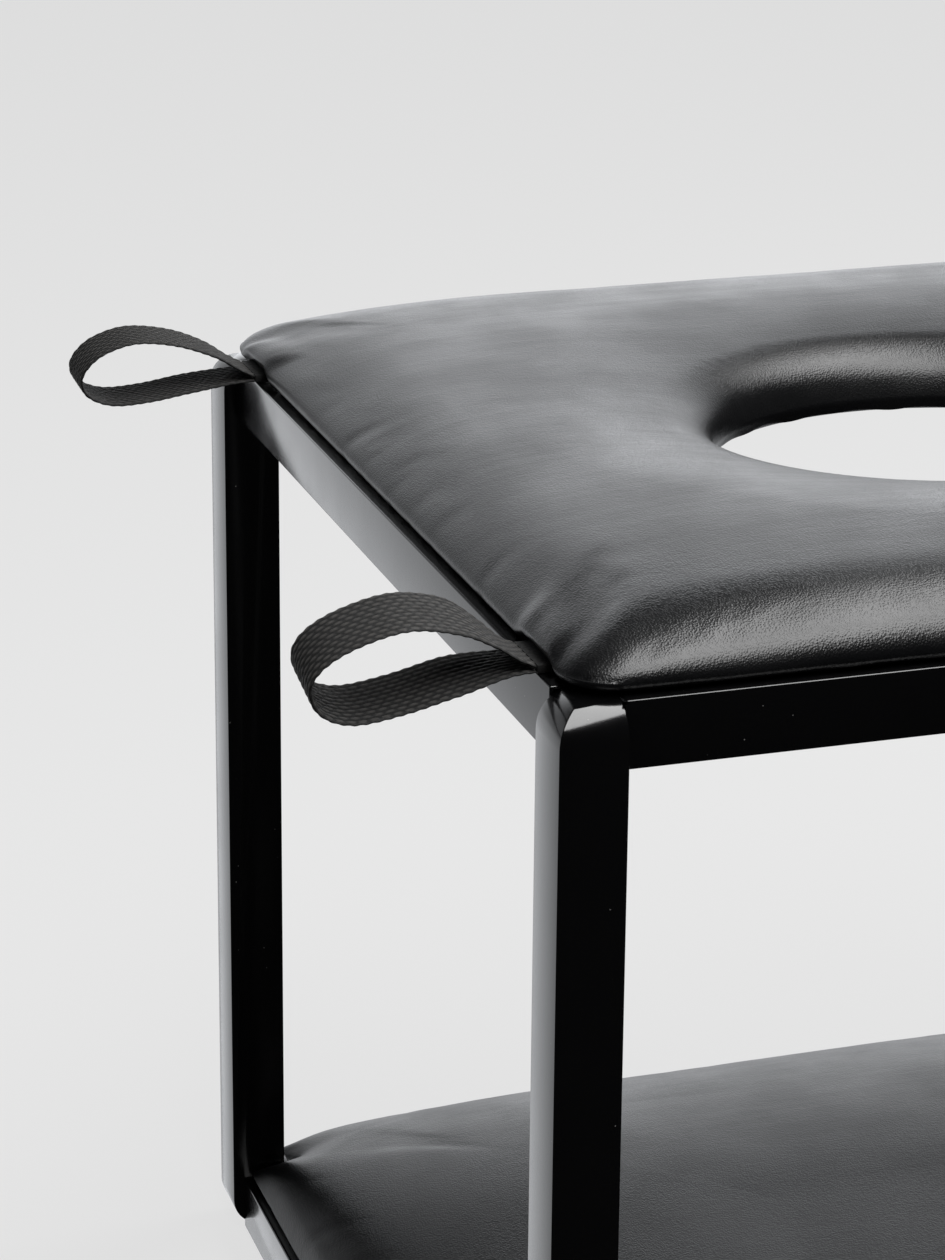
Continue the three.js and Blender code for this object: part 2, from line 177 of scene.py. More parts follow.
def leather_detail(graph, where):
    cells = graph.add(
        "ShaderNodeTexVoronoi", {"Vector": where, "Scale": 1150.0, "Randomness": 0.9}
    ).outputs["Distance"]
    pebble = graph.remap(cells, 0.12, 0.75, 1.0, 0.0)
    folds = graph.noise(where, 420.0, 2.0)
    patches = graph.noise(where, 22.0, 4.0)
    streaks = graph.noise(graph.stretched(where, (14.0, 260.0, 60.0)), 1.0, 3.0, 0.6)
    grain = graph.bump(pebble, 0.0001, 0.6)
    grain = graph.bump(folds, 0.0001, 0.3, grain)
    rough = graph.math(
        "ADD",
        graph.remap(patches, 0.3, 0.7, 0.3, 0.37),
        graph.remap(streaks, 0.35, 0.65, -0.012, 0.014),
    )
    return {
        "Base Color": ramp(graph, patches, (0.0015, 0.0016, 0.0019), (0.0042, 0.0043, 0.0047)),
        "Roughness": rough,
        "Normal": grain,
    }


def paint_detail(graph, where):
    peel = graph.noise(where, 260.0, 2.0)
    brush = graph.noise(graph.stretched(where, (420.0, 420.0, 22.0)), 1.0, 3.0)
    patches = graph.noise(where, 30.0, 4.0)
    specks = graph.add(
        "ShaderNodeTexVoronoi", {"Vector": where, "Scale": 140.0, "Randomness": 1.0}
    ).outputs["Distance"]
    dust = graph.remap(specks, 0.016, 0.034, 1.0, 0.0)
    surface = graph.bump(peel, 0.00006, 0.25)
    surface = graph.bump(brush, 0.00003, 0.3, surface)
    rough = graph.math("ADD", graph.remap(patches, 0.3, 0.7, 0.13, 0.2), graph.math(
        "MULTIPLY", dust, 0.5))
    return {
        "Base Color": ramp(graph, dust, (0.002, 0.002, 0.0022), (0.2, 0.2, 0.19)),
        "Roughness": rough,
        "Normal": surface,
    }


def webbing_detail(graph, where):
    fibre = graph.noise(where, 3800.0, 3.0, 0.7)
    yarn = graph.noise(where, 900.0, 2.0)
    wear = graph.noise(where, 60.0, 4.0)
    surface = graph.bump(fibre, 0.00012, 0.7)
    raised = graph.add("ShaderNodeAttribute", attribute_name="raised").outputs["Fac"]
    # Yarn tone, and painted shade: the colour goes dark in the recesses between the raised floats and light on
    # their tops. Parts without the raised attribute come out near black, as painted shade.
    shade = graph.math("MULTIPLY", graph.math("ADD", yarn, wear), 0.5)
    shade = graph.math("MULTIPLY", shade, graph.remap(raised, 0.5, 0.97, 0.05, 1.5))
    return {
        "Base Color": ramp(graph, shade, (0.0015, 0.0014, 0.0013), (0.05, 0.047, 0.0435)),
        "Roughness": graph.remap(yarn, 0.3, 0.7, 0.62, 0.85),
        "Normal": surface,
    }


def plywood_detail(graph, where):
    figure = graph.noise(graph.stretched(where, (9.0, 130.0, 130.0)), 1.0, 5.0, 0.65)
    layers = graph.noise(graph.stretched(where, (2.0, 2.0, 720.0)), 1.0, 1.0)
    tone = graph.math("ADD", graph.math("MULTIPLY", figure, 0.6), graph.math(
        "MULTIPLY", layers, 0.4))
    return {
        "Base Color": ramp(graph, tone, (0.33, 0.21, 0.11), (0.66, 0.48, 0.29)),
        "Roughness": graph.remap(figure, 0.3, 0.7, 0.55, 0.78),
        "Normal": graph.bump(figure, 0.00015, 0.5),
    }


def zinc_detail(graph, where):
    brushed = graph.noise(graph.stretched(where, (600.0, 600.0, 90.0)), 1.0, 3.0)
    bloom = graph.noise(where, 260.0, 3.0)
    return {
        "Base Color": ramp(graph, bloom, (0.42, 0.43, 0.45), (0.72, 0.71, 0.66)),
        "Roughness": graph.remap(brushed, 0.3, 0.7, 0.22, 0.42),
        "Normal": graph.bump(brushed, 0.00004, 0.5),
    }


def felt_detail(graph, where):
    fibre = graph.noise(where, 1500.0, 5.0, 0.75)
    return {
        "Base Color": ramp(graph, fibre, (0.02, 0.02, 0.022), (0.11, 0.11, 0.115)),
        "Normal": graph.bump(fibre, 0.0003, 0.9),
    }


def liner_detail(graph, where):
    fibre = graph.noise(where, 900.0, 4.0, 0.7)
    dimples = graph.add(
        "ShaderNodeTexVoronoi", {"Vector": where, "Scale": 620.0, "Randomness": 0.15}
    ).outputs["Distance"]
    return {
        "Base Color": ramp(graph, fibre, (0.006, 0.006, 0.0065), (0.026, 0.026, 0.027)),
        "Roughness": graph.remap(fibre, 0.3, 0.7, 0.8, 0.98),
        "Normal": graph.bump(dimples, 0.0002, 0.6),
    }


FINISHES = {
    "black_leather": material("fine_leather", (0.012, 0.012, 0.013), 0.4, leather_detail),
    # Painted shade: a less glossy copy of the same leather for the lower pad, standing in for the shade that the
    # seat casts over it.
    "shaded_leather": material(
        "fine_leather_painted_shade", (0.012, 0.012, 0.013), 0.4, leather_detail,
        **{"Specular IOR Level": 0.25},
    ),
    "frame_paint": material(
        "gloss_paint", (0.003, 0.003, 0.003), 0.16, paint_detail,
        **{"Coat Weight": 0.35, "Coat Roughness": 0.1},
    ),
    "webbing": material("webbing_yarn", (0.03, 0.03, 0.03), 0.75, webbing_detail),
    "plywood": material("sanded_plywood", (0.5, 0.35, 0.2), 0.7, plywood_detail),
    "zinc_screw": material("zinc_plate", (0.6, 0.6, 0.6), 0.3, zinc_detail, Metallic=0.95),
    "felt_foot": material("dense_felt", (0.06, 0.06, 0.06), 0.95, felt_detail),
    "liner_cloth": material("dust_cloth", (0.015, 0.015, 0.015), 0.9, liner_detail),
}


# ---------- carried-over CAD nodes ----------
def shading_group():
    """Shades smooth except across edges sharper than 32°."""
    group = bpy.data.node_groups.new("even_shading", "GeometryNodeTree")
    group.interface.new_socket("Geometry", in_out="INPUT", socket_type="NodeSocketGeometry")
    group.interface.new_socket("Geometry", in_out="OUTPUT", socket_type="NodeSocketGeometry")
    graph = Graph(group)
    shape = graph.add("NodeGroupInput").outputs[0]
    angle = graph.add("GeometryNodeInputMeshEdgeAngle").outputs["Unsigned Angle"]
    soft = graph.add(
        "FunctionNodeCompare", {"A": angle, "B": math.radians(32)},
        data_type="FLOAT", operation="LESS_EQUAL",
    ).outputs["Result"]
    faces = graph.add("GeometryNodeSetShadeSmooth", {"Geometry": shape}, domain="FACE")
    edges = graph.add(
        "GeometryNodeSetShadeSmooth",
        {"Geometry": faces.outputs[0], "Shade Smooth": soft},
        domain="EDGE",
    )
    graph.add("NodeGroupOutput", {0: edges.outputs[0]})
    return group


EVEN_SHADING = shading_group()
BEVELS = {
    "frame_paint": (0.6 * MM, 3),
    "plywood": (0.4 * MM, 2),
    "zinc_screw": (0.35 * MM, 2),
    "webbing": (0.4 * MM, 2),
    "felt_foot": (0.5 * MM, 2),
    "liner_cloth": (0.2 * MM, 1),
}

slots = {s["node"]: s["material_slot"] for s in frame["record"]["subparts"]}
for name, node in frame["nodes"].items():
    slot = slots[name]
    if slot not in FINISHES:
        continue
    node.data.materials.clear()
    node.data.materials.append(FINISHES[slot])
    if slot not in BEVELS:
        continue
    width, segments = BEVELS[slot]
    node.modifiers.new("weld", "WELD").merge_threshold = 0.02 * MM
    flat = node.modifiers.new("flat_faces", "DECIMATE")
    flat.decimate_type = "DISSOLVE"
    flat.angle_limit = math.radians(1)
    bevel = node.modifiers.new("edge", "BEVEL")
    bevel.width = width
    bevel.segments = segments
    bevel.limit_method = "ANGLE"
    bevel.angle_limit = math.radians(40)
    node.modifiers.new("shading", "NODES").node_group = EVEN_SHADING


# ---------- meshes ----------
def mesh_object(name, points, faces, finish, sharp=50):
    mesh = bpy.data.meshes.new(name)
    mesh.from_pydata([tuple(p) for p in points], [], faces)
    mesh.validate()
    mesh.update()
    mesh.shade_smooth()
    mesh.set_sharp_from_angle(angle=math.radians(sharp))
    mesh.materials.append(FINISHES[finish])
    made = bpy.data.objects.new(name, mesh)
    bpy.context.scene.collection.objects.link(made)
    return made


def loft(rings, looped):
    """Points and faces through rings of equal length; an open loft is closed by flat fans."""
    count, steps = len(rings[0]), len(rings)
    points = np.concatenate(rings)
    faces = []
    for r in range(steps if looped else steps - 1):
        nxt = (r + 1) % steps
        for i in range(count):
            j = (i + 1) % count
            faces.append((r * count + i, r * count + j, nxt * count + j, nxt * count + i))
    if not looped:
        middles = [rings[0].mean(0), rings[-1].mean(0)]
        first = len(points)
        points = np.concatenate([points, middles])
        last = (steps - 1) * count
        for i in range(count):
            j = (i + 1) % count
            faces.append((first, j, i))
            faces.append((first + 1, last + i, last + j))
    return points, faces


def rounded(corners, radius, side_steps, corner_steps):
    """A closed outline round corners, with the same number of points whatever their place."""
    corners = [np.array(c, float) for c in corners]
    points = []
    for i, corner in enumerate(corners):
        before, after = corners[i - 1], corners[(i + 1) % len(corners)]
        to_before = (before - corner) / np.linalg.norm(before - corner)
        to_after = (after - corner) / np.linalg.norm(after - corner)
        start, end = corner + to_before * radius, corner + to_after * radius
        for k in range(corner_steps + 1):
            t = k / corner_steps
            points.append((1 - t) ** 2 * start + 2 * t * (1 - t) * corner + t * t * end)
        far = after - to_after * radius
        steps = side_steps[i % len(side_steps)]
        for k in range(1, steps):
            points.append(end + (far - end) * k / steps)
    return np.array(points)


# ---------- pads ----------
SEAT_CORNER = 22 * MM
BOARD_CORNER = 16 * MM  # of the seat board, and of the hem round it
LOWER_CORNER = 6 * MM
LEG_GAP = 3 * MM
HEM = 1.2 * MM  # thickness of a cover where it turns in under its board
HEM_WIDTH = 12 * MM
OPENING_HEM = 14 * MM
BOARD_GAP = 0.2 * MM
SPARE_CLOTH = -0.005  # the cloth's shrink factor: below 0, it is cut larger than its shape
SETTLING_FRAMES = 20
HELD_AT_OPENING = 9  # rows over which the cloth is held less and less from its inner border
SETTLING_LIMIT = 0.45 * MM  # how far a point may move
LINING = 1.5 * MM  # from a cover's outer face to the board or foam inside it
ROLL_IN, ROLL_UP = 5 * MM, 4 * MM  # rounded lower edge of a pad
RAIL_GAP = 0.7 * MM  # between a rail and the pad that lies on it
SEAT_RINGS, LOWER_RINGS = 80, 70  # rings from a pad's edge inwards
SEAT_BULGE, LOWER_BULGE = 0.8 * MM, 0.6 * MM  # how far a pad stands out past its cover's box
ROLL_CREASE = 0.6 * MM  # depth of the creases in the rolled lower edge
SEAT_CREASE, LOWER_CREASE = 0.55 * MM, 0.9 * MM
OPENING_LAP = 1.5 * MM  # how far the skin reaches in past the hem of the opening
FUNNEL_REACH = 92 * MM
STRAP_HALF = 13.5 * MM  # half a strap's width and its room
STRAP_FADE = 9 * MM  # beside a strap, where the pad comes back down to its rail
hem_points = cad_points("seat_cover")
hem_points = hem_points[np.abs(hem_points[:, 2] - cover_low.z) < 1e-6]
hole_x = np.abs(hem_points[np.abs(hem_points[:, 1]) < 0.02][:, 0]).min()
hole_y = np.abs(hem_points[np.abs(hem_points[:, 0]) < 0.02][:, 1]).min()


def seat_outline(inset, corner=SEAT_CORNER):
    x, y = cover_high.x - inset, cover_high.y - inset
    corners = [(x, -y), (x, y), (-x, y), (-x, -y)]
    return rounded(corners, corner, (110, 120), 12)


def hole_outline(inset):
    base = seat_outline(0)
    angle = np.arctan2(base[:, 1] / cover_high.y, base[:, 0] / cover_high.x)
    return np.stack(
        [(hole_x + inset) * np.cos(angle), (hole_y + inset) * np.sin(angle)], 1
    )


def notch_corner(inset=0.0):
    """Where the lower pad's notch round a leg has its inner corner."""
    leg = leg_high - leg_low
    return (-leg_low.x - leg.x - LEG_GAP - inset, -leg_low.y - leg.y - LEG_GAP - inset)


def lower_outline(inset):
    x, y = lower_high.x - inset, lower_high.y - inset
    nx, ny = notch_corner(inset)
    corners = []
    for sx, sy in ((1, -1), (1, 1), (-1, 1), (-1, -1)):
        side, inner, end = (sx * x, sy * ny), (sx * nx, sy * ny), (sx * nx, sy * y)
        corners += [end, inner, side] if sx * sy < 0 else [side, inner, end]
    return rounded(corners, LOWER_CORNER, (6, 6, 100), 6)


def at_height(outline, z):
    z = np.broadcast_to(np.asarray(z, float), (len(outline),))
    return np.column_stack([outline, z])


def arc_length(outline):
    steps = np.linalg.norm(np.roll(outline, -1, 0) - outline, axis=1)
    return np.concatenate([[0], np.cumsum(steps)[:-1]]), steps.sum()


def smoothstep(x):
    x = np.clip(x, 0, 1)
    return x * x * (3 - 2 * x)


def arch(distance, reach, power):
    """Rises from 0 at an edge to 1 at `reach` from it, steep at first."""
    return (1 - (1 - np.clip(distance / reach, 0, 1)) ** power) ** (1 / power)


def puckers(outline, spacing, seed):
    """Short creases across a pad's edge: how deep it is creased at each point of the outline,
    from 0 to 1."""
    draw = np.random.default_rng(seed)
    along, total = arc_length(outline)
    depth = np.zeros(len(outline))
    place = draw.uniform(0, spacing)
    while place < total:
        width = draw.uniform(2.0, 4.2) * MM
        strength = 0.1 + 0.9 * draw.uniform(0, 1) ** 3
        gap = np.abs(along - place)
        gap = np.minimum(gap, total - gap)
        depth = np.maximum(depth, strength * np.exp(-((gap / width) ** 2)))
        place += spacing * draw.uniform(0.6, 1.5)
    return depth


def inwards(outline):
    return -outline / np.linalg.norm(outline, axis=1)[:, None]


def rolled_edge(outline_at, bottom, side, bulge, crease, depth):
    """Rings round a pad's rounded lower edge, drawn in at each crease."""
    rings = [at_height(outline_at(ROLL_IN), bottom)]
    for k in range(1, 10):
        turn = k / 9 * math.pi / 2
        ring = outline_at(ROLL_IN - (ROLL_IN + bulge) * math.sin(turn))
        ring = ring + inwards(ring) * (crease * depth * math.sin(turn))[:, None]
        rings.append(at_height(ring, bottom + (side - bottom) * (1 - math.cos(turn))))
    return rings


def settle(rings):
    """Lets the skin over a pad settle as stretched cloth with air under it, held along both of
    its borders. The simulation runs on every second point, and moves no point far; its effect
    fades toward the inner border."""
    grid = np.array(rings)
    coarse = grid[::2, ::2]
    if (len(grid) - 1) % 2:
        coarse = np.concatenate([coarse, grid[-1:, ::2]])
    rows, columns = coarse.shape[:2]
    faces = [
        (r * columns + c, r * columns + (c + 1) % columns,
         (r + 1) * columns + (c + 1) % columns, (r + 1) * columns + c)
        for r in range(rows - 1) for c in range(columns)
    ]
    mesh = bpy.data.meshes.new("skin")
    mesh.from_pydata(coarse.reshape(-1, 3).tolist(), [], faces)
    skin = bpy.data.objects.new("skin", mesh)
    bpy.context.scene.collection.objects.link(skin)
    held = skin.vertex_groups.new(name="held")
    for r in range(rows):
        hold = max(1 - r / 3, 1 - (rows - 1 - r) / HELD_AT_OPENING)
        if hold > 0:
            held.add([r * columns + c for c in range(columns)], hold, "REPLACE")
    cloth = skin.modifiers.new("cloth", "CLOTH")
    cloth.settings.vertex_group_mass = "held"
    cloth.settings.quality = 6
    cloth.settings.mass = 0.25
    cloth.settings.tension_stiffness = cloth.settings.compression_stiffness = 25
    cloth.settings.shear_stiffness = 8
    cloth.settings.bending_stiffness = 0.6
    cloth.settings.shrink_min = SPARE_CLOTH
    cloth.settings.use_pressure = True
    cloth.settings.uniform_pressure_force = 4
    cloth.settings.effector_weights.gravity = 0
    cloth.point_cache.frame_start, cloth.point_cache.frame_end = 1, SETTLING_FRAMES
    for step in range(1, SETTLING_FRAMES + 1):
        bpy.context.scene.frame_set(step)
    shape = skin.evaluated_get(bpy.context.evaluated_depsgraph_get())
    settled = np.array([v.co for v in shape.data.vertices], float).reshape(coarse.shape)
    bpy.context.scene.frame_set(1)
    bpy.data.objects.remove(skin)
    moved = settled - coarse
    size = np.linalg.norm(moved, axis=2, keepdims=True)
    moved *= SETTLING_LIMIT * np.tanh(size / SETTLING_LIMIT) / np.maximum(size, 1e-9)
    moved *= smoothstep((rows - 1 - np.arange(rows)) / (0.45 * rows))[:, None, None]
    row_at = np.minimum(np.arange(len(grid)) / 2, rows - 1)
    row_at[-1] = rows - 1
    low = np.minimum(np.floor(row_at).astype(int), rows - 2)
    share = (row_at - low)[:, None, None]
    by_row = moved[low] * (1 - share) + moved[low + 1] * share
    column_at = np.arange(grid.shape[1]) / 2
    left = np.floor(column_at).astype(int) % columns
    share = (column_at - np.floor(column_at))[None, :, None]
    full = by_row[:, left] * (1 - share) + by_row[:, (left + 1) % columns] * share
    return list(grid + full)


def seat_height(ring, side, top, half):
    """The seat's top surface: a low pillow with a full roll at its edge, falling into the
    opening. The fall is longer in front of the opening and steeper behind it."""
    x, y = np.abs(ring[:, 0]), np.abs(ring[:, 1])
    qx, qy = x - (half[0] - SEAT_CORNER), y - (half[1] - SEAT_CORNER)
    outside = np.hypot(np.maximum(qx, 0), np.maximum(qy, 0)) + np.minimum(np.maximum(qx, qy), 0)
    edge = SEAT_CORNER - outside
    from_side = 0.3 * arch(edge, 0.03, 2.0) + 0.7 * arch(half[0] - x, 0.125, 1.9)
    from_end = 0.7 * arch(edge, 0.044, 2.0) + 0.3 * arch(half[1] - y, 0.12, 1.9)
    lift = from_side * from_end
    lift += 0.12 * (arch(edge, 0.012, 2.0) - lift) * (1 - np.clip(edge / 0.03, 0, 1)) ** 2
    radius = np.hypot(ring[:, 0] / hole_x, ring[:, 1] / hole_y)
    away = np.hypot(ring[:, 0], ring[:, 1]) * (1 - 1 / radius) + OPENING_LAP
    rear = smoothstep(0.5 + 0.6 * ring[:, 1] / np.hypot(ring[:, 0], ring[:, 1]))
    funnel, lip_drop = (14 - 5 * rear) * MM, (12 + 6 * rear) * MM
    lip_width = (30 - 5 * rear) * MM
    fall = np.clip(1 - away / FUNNEL_REACH, 0, 1)
    lip = np.clip(1 - away / lip_width, 0, 1)
    return (
        side + (top - side) * lift
        - funnel * fall ** 1.7
        - lip_drop * (1 - np.sqrt(np.maximum(0, 1 - lip**2)))
    )


def over_straps(outline):
    """How far the seat is lifted off the side rails, where a strap passes under it."""
    lift = np.zeros(len(outline))
    for joint in frame["joints"]:
        x, y = joint["pos_m"][:2]
        near = smoothstep(1 - (np.abs(outline[:, 1] - y) - STRAP_HALF) / STRAP_FADE)
        lift = np.maximum(lift, near * (outline[:, 0] * x > 0) * (np.abs(outline[:, 0]) > 0.2))
    return lift


def seat_pad():
    """The closed skin of the seat: hem, rolled edge, crown, opening, and the pocket of its
    board."""
    bottom, top, hem = seat_foam_low.z - LINING, cover_high.z, cover_low.z
    rail_top = leg_high.z + RAIL_GAP
    sleeve = cover_high.x - board_high.x - LINING
    bulge = SEAT_BULGE
    outer = seat_outline(0)
    crease = puckers(outer, 27 * MM, 5)
    along, total = arc_length(hole_outline(0))
    ripple = np.sin(along / total * 2 * np.pi * 22) + np.sin(along / total * 2 * np.pi * 13 + 1)
    under = rail_top + (bottom - rail_top) * over_straps(outer)
    side = under + ROLL_UP
    rings = [
        at_height(seat_outline(sleeve + HEM_WIDTH, BOARD_CORNER), hem),
        at_height(seat_outline(sleeve, BOARD_CORNER), hem),
        at_height(seat_outline(sleeve, BOARD_CORNER), under),
    ]
    skin = rolled_edge(seat_outline, under, side, bulge, crease, ROLL_CREASE)
    half = (cover_high.x + bulge, cover_high.y + bulge)
    first, last = seat_outline(-bulge), hole_outline(-OPENING_LAP)
    for k in range(1, SEAT_RINGS + 1):
        share = k / SEAT_RINGS
        across = share * share * (2 - share)
        ring = first * (1 - across) + last * across
        deep = crease * smoothstep(1 - across / 0.16) * SEAT_CREASE
        edge_side = side + (rail_top - under) * smoothstep(across / 0.12)
        z = seat_height(ring, edge_side, top, half)
        ring = ring + inwards(ring) * (0.5 * deep * (1 - smoothstep(across / 0.08)))[:, None]
        skin.append(at_height(ring, z - 0.8 * deep * smoothstep(across / 0.03)))
    low = skin[-1][:, 2]
    for inset, drop in ((-1.6, 1.2), (-1.3, 2.4), (-0.6, 3.8), (-0.2, 5.0)):
        ring = at_height(hole_outline(inset * MM), low - drop * MM + ripple * 0.1 * MM)
        skin.append(ring)
    rings += settle(skin)
    rings += [
        at_height(hole_outline(0.3 * MM), hem + 0.6 * MM + ripple * 0.35 * MM),
        at_height(hole_outline(1.5 * MM), hem),
        at_height(hole_outline(OPENING_HEM), hem),
        at_height(hole_outline(OPENING_HEM), hem + HEM),
        at_height(hole_outline(HEM), hem + HEM),
        at_height(hole_outline(HEM), board_high.z + BOARD_GAP),
        at_height(seat_outline(sleeve + HEM, BOARD_CORNER), board_high.z + BOARD_GAP),
        at_height(seat_outline(sleeve + HEM, BOARD_CORNER), hem + HEM),
        at_height(seat_outline(sleeve + HEM_WIDTH, BOARD_CORNER), hem + HEM),
    ]
    return loft(rings, True)


def lower_pad():
    """The closed skin of the lower pad, notched round the legs, with the pocket of its board."""
    bottom, top, hem = lower_foam_low.z - LINING, lower_high.z, lower_low.z
    sleeve = lower_high.x - lower_board_high.x - LINING
    bulge = LOWER_BULGE
    crease = puckers(lower_outline(0), 36 * MM, 11)
    rings = [
        at_height(lower_outline(sleeve + HEM), lower_board_high.z + BOARD_GAP),
        at_height(lower_outline(sleeve + HEM), hem + HEM),
        at_height(lower_outline(sleeve + HEM_WIDTH), hem + HEM),
        at_height(lower_outline(sleeve + HEM_WIDTH), hem),
        at_height(lower_outline(sleeve), hem),
        at_height(lower_outline(sleeve), bottom),
    ]
    side = bottom + ROLL_UP
    skin = rolled_edge(lower_outline, bottom, side, bulge, crease, ROLL_CREASE)
    half = (lower_high.x + bulge, lower_high.y + bulge)
    nx, ny = notch_corner()
    first = lower_outline(-bulge)
    for k in range(1, LOWER_RINGS):
        share = k / LOWER_RINGS
        across = share * share * (2 - share)
        ring = first * (1 - across)
        x, y = np.abs(ring[:, 0]), np.abs(ring[:, 1])
        ex, ey = nx - x, ny - y
        notch = np.where(ex < 0, ey, np.where(ey < 0, ex, np.hypot(ex, ey)))
        edge = np.minimum(np.minimum(half[0] - x, half[1] - y), notch)
        lift = arch(half[0] - x, 0.17, 2.2) * arch(half[1] - y, 0.17, 2.2)
        lift = lift * arch(notch, 0.03, 2.0) * arch(edge, 0.006, 2.0)
        deep = crease * smoothstep(1 - across / 0.14) * LOWER_CREASE
        z = side + (top - side) * lift - deep * smoothstep(across / 0.02)
        skin.append(at_height(ring, z))
    return loft(rings + settle(skin), False)


def pad_piece(name, shape, finish, fill, *nodes):
    """Puts a pad's skin in the scene, in place of its CAD cover and foam."""
    points, faces = shape
    piece = mesh_object(name, points, faces, finish)
    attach(piece, "stand")
    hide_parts(*nodes)
    return piece


pad_piece("seat_pad", seat_pad(), "black_leather", 0.85, "seat_cover", "seat_foam")
# The lower pad takes the leather copy with painted shade.
pad_piece("lower_pad", lower_pad(), "shaded_leather", 0.8, "lower_cover", "lower_foam")


# ---------- webbing loops ----------
WEB_WIDTH = 25 * MM
WEB_ROWS = 11
WEB_THICKNESS = 1.5 * MM
FLOAT_LENGTH = 4.2 * MM
WEAVE_DEPTH = 0.45 * MM
LINE_STEP = 0.62 * MM  # between a loop's cross-sections
SCALLOP = 0.22 * MM  # waviness of the selvedges
SELVEDGE = 1.3 * MM  # over which a strap thins toward its edge
# centreline of a loop, in mm: out from the bend, and up
NEAR_LOOP = [(-1.4, 0.9), (5, 4.2), (13, 10.5), (25, 17.6), (43, 21.0), (61, 17.2), (73.5, 10.8),
             (78.3, 3.0), (74.5, -6.0), (63, -10.6), (45, -8.6), (27, -4.4), (11, -1.7),
             (-1.4, -0.9)]
FAR_LOOP = [(-1.4, 0.9), (6, 5.0), (16, 11.5), (32, 17.8), (50, 20.4), (64, 17.0), (72, 11.2),
            (75.0, 4.6), (71.5, -2.2), (61, -6.4), (45, -6.0), (27, -3.4), (11, -1.6), (-1.4, -0.9)]
# of each loop: its centreline, and its turn about its own length in degrees
LOOPS = {
    "front_left": (NEAR_LOOP, 13),
    "rear_left": (FAR_LOOP, 3),
    "front_right": (FAR_LOOP, 8),
    "rear_right": (NEAR_LOOP, -6),
}


def spline(controls, spacing):
    """Even points along a Catmull-Rom curve through the controls."""
    p = np.array(controls, float)
    p = np.vstack([2 * p[0] - p[1], p, 2 * p[-1] - p[-2]])
    fine = []
    for i in range(1, len(p) - 2):
        t = np.linspace(0, 1, 60, endpoint=False)[:, None]
        a, b, c, d = p[i - 1:i + 3]
        fine.append(0.5 * (2 * b + (c - a) * t + (2 * a - 5 * b + 4 * c - d) * t**2
                           + (3 * b - a - 3 * c + d) * t**3))
    fine = np.vstack([*fine, p[-2:-1]])
    for _ in range(30):
        fine[1:-1] = (fine[:-2] + 2 * fine[1:-1] + fine[2:]) / 4
    length = np.concatenate([[0], np.cumsum(np.linalg.norm(np.diff(fine, axis=0), axis=1))])
    at = np.linspace(0, length[-1], int(length[-1] / spacing) + 1)
    return np.stack([np.interp(at, length, fine[:, k]) for k in (0, 1)], 1), at


def weave(along, across):
    """Height of the woven surface: rows of floats along the strap, in a brick pattern."""
    row = across / (WEB_WIDTH / WEB_ROWS)
    column = along / FLOAT_LENGTH + 0.5 * (np.floor(row) % 2)
    ridge = np.abs(np.sin(np.pi * row))
    dash = np.abs(np.sin(np.pi * column)) ** 0.7
    return ridge ** 0.6 * (0.35 + 0.65 * dash)


def webbing_loop(place):
    """One loop of woven strap, drawn out from the hinge where it leaves the seat."""
    controls, lean = LOOPS[place]
    hinge = loop_hinges["loop_" + place]
    bend = Vector(hinge["pos_m"])
    out = math.copysign(1, bend.x)
    line, along = spline(np.array(controls) * MM, LINE_STEP)
    tangent = np.gradient(line, axis=0)
    tangent /= np.linalg.norm(tangent, axis=1)[:, None]
    normal = np.stack([-tangent[:, 1], tangent[:, 0]], 1)
    columns = WEB_ROWS * 4
    side = np.linspace(-0.5, 0.5, columns + 1) * WEB_WIDTH
    amount = smoothstep((line[:, 0] - 2 * MM) / (26 * MM))
    lean_here = math.radians(lean) * amount
    rings = []
    raised = []
    for i in range(len(line)):
        scallop = SCALLOP * math.sin(2 * math.pi * along[i] / FLOAT_LENGTH)
        half = WEB_WIDTH / 2
        section = []
        for face in (1, -1):
            for v in (side if face > 0 else side[::-1]):
                height = weave(along[i] + (0 if face > 0 else FLOAT_LENGTH / 2), v + half)
                edge = max(0.0, (abs(v) - (half - SELVEDGE)) / SELVEDGE)
                raised.append(height)
                thick = WEB_THICKNESS / 2 - WEAVE_DEPTH * (1 - height)
                thick *= math.sqrt(max(0.0, 1 - 0.85 * edge * edge))
                width = v * (1 + scallop / half * (1 if abs(v) > half * 0.9 else 0))
                section.append((width, face * thick))
        section = np.array(section)
        c, s = math.cos(lean_here[i]), math.sin(lean_here[i])
        # the section's own frame: width along +Y, leaning, and thickness along the normal
        x = line[i, 0] + normal[i, 0] * section[:, 1]
        z = line[i, 1] + normal[i, 1] * section[:, 1] + section[:, 0] * s
        y = section[:, 0] * c
        rings.append(np.stack([bend.x + out * x, bend.y + y, bend.z + z], 1))
    points, faces = loft(rings, False)
    if out > 0:
        faces = [f[::-1] for f in faces]
    piece = mesh_object("webbing_loop_" + place, points, faces, "webbing", 80)
    raised += [0.5] * (len(points) - len(raised))
    heights = piece.data.attributes.new("raised", "FLOAT", "POINT")
    heights.data.foreach_set("value", raised)
    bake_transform(piece)
    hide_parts("strap_loop_" + place)
    return piece


for place in LOOPS:
    webbing_loop(place)


# ---------- floor, world and lights ----------
FLOOR_HALF = 30.0  # metres
FLOOR_GREY, FLOOR_GLOW = 0.10, 0.705
BACKDROP_GREY = 0.78
DIM_ROOM = 0.006  # light from the directions that the studio leaves dark


